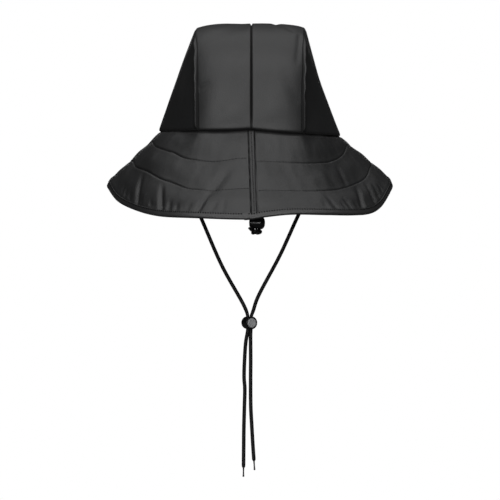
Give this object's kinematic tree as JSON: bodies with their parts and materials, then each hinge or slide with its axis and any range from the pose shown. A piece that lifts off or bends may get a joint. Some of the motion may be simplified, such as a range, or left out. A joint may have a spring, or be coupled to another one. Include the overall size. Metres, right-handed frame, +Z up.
{
  "type": "fishing hat",
  "caption": "Soft waterproof rain hat with a panelled crown, a drooping brim that is longest at the back, a chin cord with a cord lock, and a size adjuster.",
  "frame": {"origin": "centre of the crown's opening, in the plane of the seam between crown and brim, where a head carries the hat", "axes": "+Z up through the crown, +Y towards the wearer's front, +X towards the wearer's right"},
  "size_m": [0.2852, 0.2981, 0.4521],
  "materials": {
    "coated_fabric": "matte coated waterproof cloth with a broad soft sheen",
    "binding_tape": "matte woven tape",
    "cord": "braided round cord",
    "lock_plastic": "satin moulded plastic",
    "grey_plastic": "satin moulded plastic"
  },
  "bodies": {
    "hat": {"crown_strip_left": "coated_fabric", "crown_strip_right": "coated_fabric", "crown_side_left": "coated_fabric", "crown_side_right": "coated_fabric", "brim": "coated_fabric", "brim_back_seam": "coated_fabric", "brim_binding": "binding_tape", "chin_cord_tab_left": "binding_tape", "chin_cord_tab_right": "binding_tape", "adjuster_tab": "binding_tape", "chin_cord_left": "cord", "chin_cord_right": "cord", "chin_cord_tip_left": "cord", "chin_cord_tip_right": "cord", "adjuster_cord_front": "cord", "adjuster_cord_back": "cord", "adjuster_knot": "cord", "adjuster_cord_end": "cord", "chin_lock_body": "lock_plastic", "adjuster_lock_body": "lock_plastic"},
    "chin_plunger": {"chin_lock_plunger": "grey_plastic"},
    "adjuster_plunger": {"adjuster_lock_plunger": "lock_plastic"}
  },
  "joints": [
    {"name": "chin_lock_press", "type": "slide", "parent": "hat", "child": "chin_plunger", "axis": [-0.5, 0.866, 0], "range_m": [0, 0.0024], "stiffness_N_per_m": 800, "springref_m": -0.001},
    {"name": "adjuster_lock_press", "type": "slide", "parent": "hat", "child": "adjuster_plunger", "axis": [0.9848, -0.1736, 0], "range_m": [0, 0.0024], "stiffness_N_per_m": 800, "springref_m": -0.001}
  ]
}
